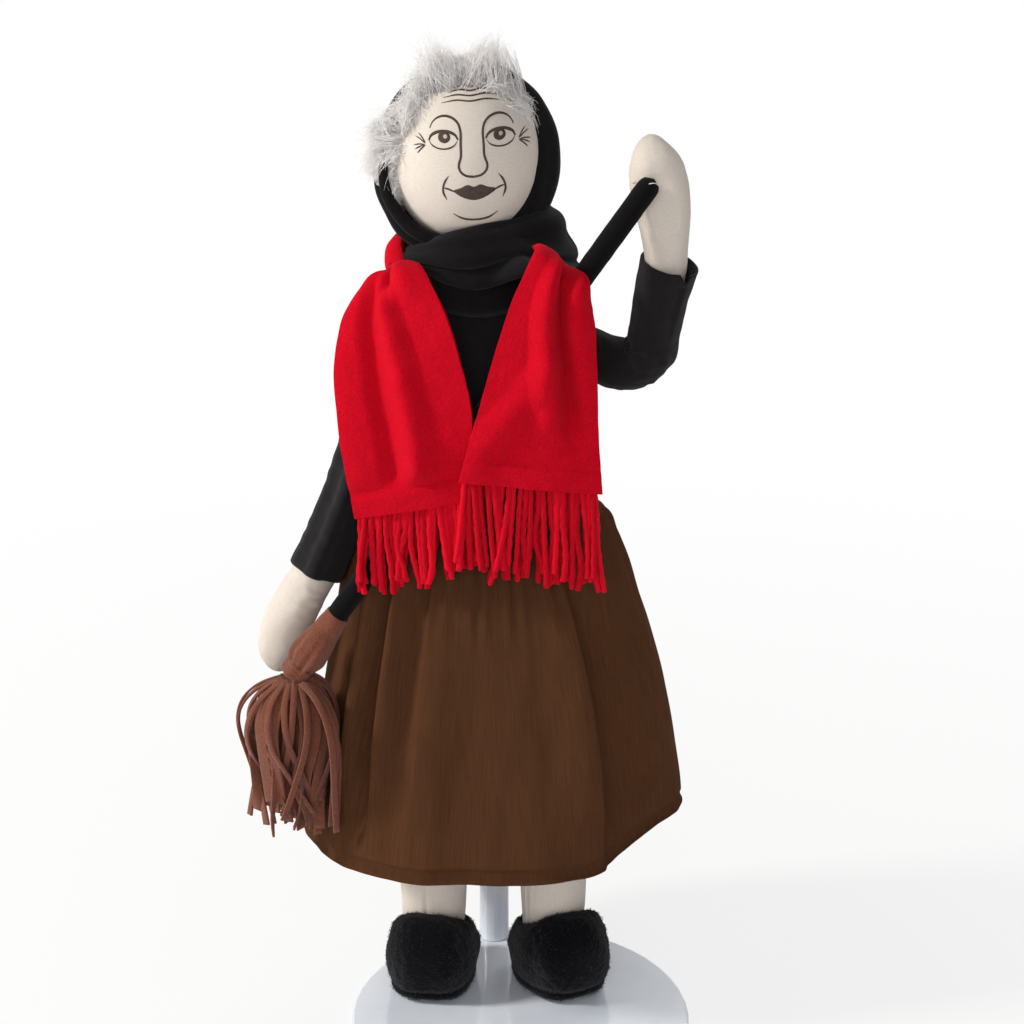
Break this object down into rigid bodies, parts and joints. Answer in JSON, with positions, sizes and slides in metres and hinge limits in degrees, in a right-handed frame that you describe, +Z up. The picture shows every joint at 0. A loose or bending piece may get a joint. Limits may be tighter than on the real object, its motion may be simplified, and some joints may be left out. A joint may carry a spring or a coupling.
{
  "type": "rag doll with broom on display stand",
  "caption": "Stuffed cloth doll of an old woman in kerchief, scarf and skirt, holding a felt-strip broom, clipped at the waist to a round display stand.",
  "frame": {"origin": "centre of the base's underside, on the floor", "axes": "+Z up; the doll faces -Y, so its raised left hand is on +X"},
  "size_m": [0.2197, 0.197, 0.4627],
  "materials": {
    "stand_white": "glossy white moulding with a cool tint",
    "steel": "plain zinc-bright steel",
    "vinyl": "soft matt vinyl tube",
    "calico": "off-white plain-weave calico, stuffed",
    "black_cotton": "matt black cotton",
    "kerchief": "soft matt black cotton",
    "plush": "short-pile black plush",
    "skirt_cotton": "brown slub-weave cotton",
    "fleece": "red brushed fleece",
    "yarn": "red twisted yarn",
    "stick_cover": "black cotton over a round stick",
    "felt": "reddish brown craft felt",
    "fur": "pale grey faux fur"
  },
  "bodies": {
    "stand": {"stand_base": "stand_white", "stand_post": "stand_white", "post_screw": "steel"},
    "trunk": {"clip_collar": "stand_white", "clip_wire": "steel", "clip_sleeve_left": "vinyl", "clip_sleeve_right": "vinyl", "body": "calico", "blouse_bodice": "black_cotton", "skirt_waistband": "skirt_cotton", "skirt": "skirt_cotton", "kerchief_wrap": "kerchief", "scarf": "fleece", "fringe_right": "yarn", "fringe_left": "yarn"},
    "head_whole": {"head": "calico", "hair": "fur", "kerchief_hood": "kerchief"},
    "left_arm_upper": {"left_upper_arm": "calico", "left_upper_sleeve": "black_cotton"},
    "left_arm_lower": {"left_forearm": "calico", "left_lower_sleeve": "black_cotton", "broom_stick": "stick_cover", "broom_cap": "felt", "broom_binding": "felt", "broom_strips": "felt"},
    "right_arm_upper": {"right_upper_arm": "calico", "right_upper_sleeve": "black_cotton"},
    "right_arm_lower": {"right_forearm": "calico", "right_lower_sleeve": "black_cotton"},
    "left_leg_whole": {"left_leg": "calico", "left_slipper": "plush", "left_sole": "plush"},
    "right_leg_whole": {"right_leg": "calico", "right_slipper": "plush", "right_sole": "plush"}
  },
  "joints": [
    {"name": "clip_slide", "type": "slide", "parent": "stand", "child": "trunk", "axis": [0, 0, 1], "range_m": [0, 0.022]},
    {"name": "head_turn", "type": "hinge", "parent": "trunk", "child": "head_whole", "pos_m": [-0.02031, 0.03584, 0.38095], "axis": [0, 0, 1], "range_deg": [-25, 25]},
    {"name": "left_shoulder", "type": "hinge", "parent": "trunk", "child": "left_arm_upper", "pos_m": [0.0231, 0.03584, 0.33895], "axis": [0, -1, 0], "range_deg": [0, 15]},
    {"name": "left_elbow", "type": "hinge", "parent": "left_arm_upper", "child": "left_arm_lower", "pos_m": [0.05634, 0.03014, 0.32053], "axis": [0, -1, 0], "range_deg": [-15, 0]},
    {"name": "right_shoulder", "type": "hinge", "parent": "trunk", "child": "right_arm_upper", "pos_m": [-0.06424, 0.03584, 0.33195], "axis": [0, 1, 0], "range_deg": [0, 40]},
    {"name": "right_elbow", "type": "hinge", "parent": "right_arm_upper", "child": "right_arm_lower", "pos_m": [-0.06743, 0.0328, 0.29395], "axis": [0, 1, 0], "range_deg": [0, 35]},
    {"name": "left_hip", "type": "hinge", "parent": "trunk", "child": "left_leg_whole", "pos_m": [0.0165, 0.03584, 0.1646], "axis": [-1, 0, 0], "range_deg": [0, 25]},
    {"name": "right_hip", "type": "hinge", "parent": "trunk", "child": "right_leg_whole", "pos_m": [-0.0425, 0.03584, 0.1646], "axis": [-1, 0, 0], "range_deg": [0, 25]}
  ],
  "couplings": [
    {"joint": "left_elbow", "follows": "left_shoulder", "ratio": -1}
  ]
}
